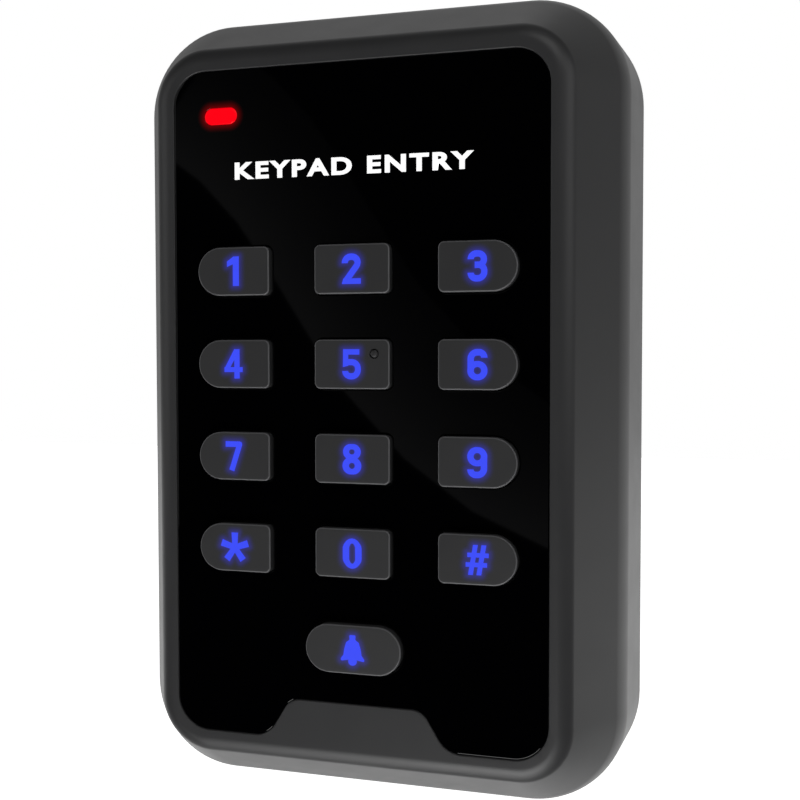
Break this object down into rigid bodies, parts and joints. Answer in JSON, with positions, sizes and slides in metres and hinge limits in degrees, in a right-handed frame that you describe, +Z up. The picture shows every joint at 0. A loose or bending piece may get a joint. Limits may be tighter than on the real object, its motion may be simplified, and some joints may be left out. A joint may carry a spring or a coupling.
{
  "type": "keypad access reader",
  "caption": "Wall-mounted keypad access reader: bevelled moulded case, gloss panel, backlit push keys with a bell key, and a status light.",
  "frame": {"origin": "centre of the back plate's rear face, on the wall", "axes": "+Z up, +Y into the wall, keys face -Y, +X to the right of a person who faces the keys"},
  "size_m": [0.0786, 0.0271, 0.122],
  "materials": {
    "case_plastic": "fine spark texture, satin",
    "panel_acrylic": "polished",
    "tape": "die-cut tape",
    "key_plastic": "soft-touch satin",
    "silicone": "moulded, translucent",
    "carbon": "conductive silicone",
    "lens_red": "clear moulded, lit from behind",
    "board": "solder mask over glass fibre laminate",
    "copper_wire": "enamelled wire, wound",
    "light_blue": "clear epoxy over a blue chip",
    "light_red": "clear epoxy over a red chip",
    "chip": "moulded epoxy",
    "can": "drawn can",
    "relay_case": "moulded",
    "buzzer_case": "moulded",
    "terminal_green": "moulded",
    "screw_steel": "zinc plated steel",
    "screw_black": "black oxide steel",
    "ceramic_chip": "glazed",
    "header": "moulded",
    "jumper": "moulded",
    "switch_case": "moulded",
    "plunger": "moulded acetal",
    "plate_plastic": "fine spark texture",
    "foam": "closed-cell foam",
    "grommet_rubber": "moulded",
    "brass_insert": "knurled"
  },
  "bodies": {
    "case": {"front_housing": "case_plastic", "front_panel": "panel_acrylic", "panel_tape": "tape", "status_lens": "lens_red", "keypad_mat": "silicone", "main_board": "board", "antenna_coil": "copper_wire", "status_light": "light_red", "key_lights": "light_blue", "control_chip": "chip", "reader_chip": "chip", "clock_crystal": "can", "voltage_regulator": "chip", "door_relay": "relay_case", "buzzer": "buzzer_case", "filter_capacitor": "can", "terminal_block": "terminal_green", "terminal_screws": "screw_steel", "chip_resistors": "ceramic_chip", "setup_header": "header", "setup_jumper": "jumper", "tamper_switch": "switch_case", "back_plate": "plate_plastic", "rear_seal": "foam", "cable_grommet": "grommet_rubber", "case_screw": "screw_black", "screw_insert": "brass_insert", "board_screws": "screw_steel"},
    "key_1": {"keycap_1": "key_plastic", "contact_pill_1": "carbon"},
    "key_2": {"keycap_2": "key_plastic", "contact_pill_2": "carbon"},
    "key_3": {"keycap_3": "key_plastic", "contact_pill_3": "carbon"},
    "key_4": {"keycap_4": "key_plastic", "contact_pill_4": "carbon"},
    "key_5": {"keycap_5": "key_plastic", "contact_pill_5": "carbon"},
    "key_6": {"keycap_6": "key_plastic", "contact_pill_6": "carbon"},
    "key_7": {"keycap_7": "key_plastic", "contact_pill_7": "carbon"},
    "key_8": {"keycap_8": "key_plastic", "contact_pill_8": "carbon"},
    "key_9": {"keycap_9": "key_plastic", "contact_pill_9": "carbon"},
    "key_star": {"keycap_star": "key_plastic", "contact_pill_star": "carbon"},
    "key_0": {"keycap_0": "key_plastic", "contact_pill_0": "carbon"},
    "key_hash": {"keycap_hash": "key_plastic", "contact_pill_hash": "carbon"},
    "key_bell": {"keycap_bell": "key_plastic", "contact_pill_bell": "carbon"},
    "tamper": {"tamper_plunger": "plunger"}
  },
  "joints": [
    {"name": "key_1_press", "type": "slide", "parent": "case", "child": "key_1", "axis": [0, 1, 0], "range_m": [0, 0.0008], "stiffness_N_per_m": 900, "deforming": ["keypad_mat"]},
    {"name": "key_2_press", "type": "slide", "parent": "case", "child": "key_2", "axis": [0, 1, 0], "range_m": [0, 0.0008], "stiffness_N_per_m": 900, "deforming": ["keypad_mat"]},
    {"name": "key_3_press", "type": "slide", "parent": "case", "child": "key_3", "axis": [0, 1, 0], "range_m": [0, 0.0008], "stiffness_N_per_m": 900, "deforming": ["keypad_mat"]},
    {"name": "key_4_press", "type": "slide", "parent": "case", "child": "key_4", "axis": [0, 1, 0], "range_m": [0, 0.0008], "stiffness_N_per_m": 900, "deforming": ["keypad_mat"]},
    {"name": "key_5_press", "type": "slide", "parent": "case", "child": "key_5", "axis": [0, 1, 0], "range_m": [0, 0.0008], "stiffness_N_per_m": 900, "deforming": ["keypad_mat"]},
    {"name": "key_6_press", "type": "slide", "parent": "case", "child": "key_6", "axis": [0, 1, 0], "range_m": [0, 0.0008], "stiffness_N_per_m": 900, "deforming": ["keypad_mat"]},
    {"name": "key_7_press", "type": "slide", "parent": "case", "child": "key_7", "axis": [0, 1, 0], "range_m": [0, 0.0008], "stiffness_N_per_m": 900, "deforming": ["keypad_mat"]},
    {"name": "key_8_press", "type": "slide", "parent": "case", "child": "key_8", "axis": [0, 1, 0], "range_m": [0, 0.0008], "stiffness_N_per_m": 900, "deforming": ["keypad_mat"]},
    {"name": "key_9_press", "type": "slide", "parent": "case", "child": "key_9", "axis": [0, 1, 0], "range_m": [0, 0.0008], "stiffness_N_per_m": 900, "deforming": ["keypad_mat"]},
    {"name": "key_star_press", "type": "slide", "parent": "case", "child": "key_star", "axis": [0, 1, 0], "range_m": [0, 0.0008], "stiffness_N_per_m": 900, "deforming": ["keypad_mat"]},
    {"name": "key_0_press", "type": "slide", "parent": "case", "child": "key_0", "axis": [0, 1, 0], "range_m": [0, 0.0008], "stiffness_N_per_m": 900, "deforming": ["keypad_mat"]},
    {"name": "key_hash_press", "type": "slide", "parent": "case", "child": "key_hash", "axis": [0, 1, 0], "range_m": [0, 0.0008], "stiffness_N_per_m": 900, "deforming": ["keypad_mat"]},
    {"name": "key_bell_press", "type": "slide", "parent": "case", "child": "key_bell", "axis": [0, 1, 0], "range_m": [0, 0.0008], "stiffness_N_per_m": 900, "deforming": ["keypad_mat"]},
    {"name": "tamper_press", "type": "slide", "parent": "case", "child": "tamper", "axis": [0, -1, 0], "range_m": [0, 0.0005], "stiffness_N_per_m": 900, "springref_m": -0.0005}
  ]
}
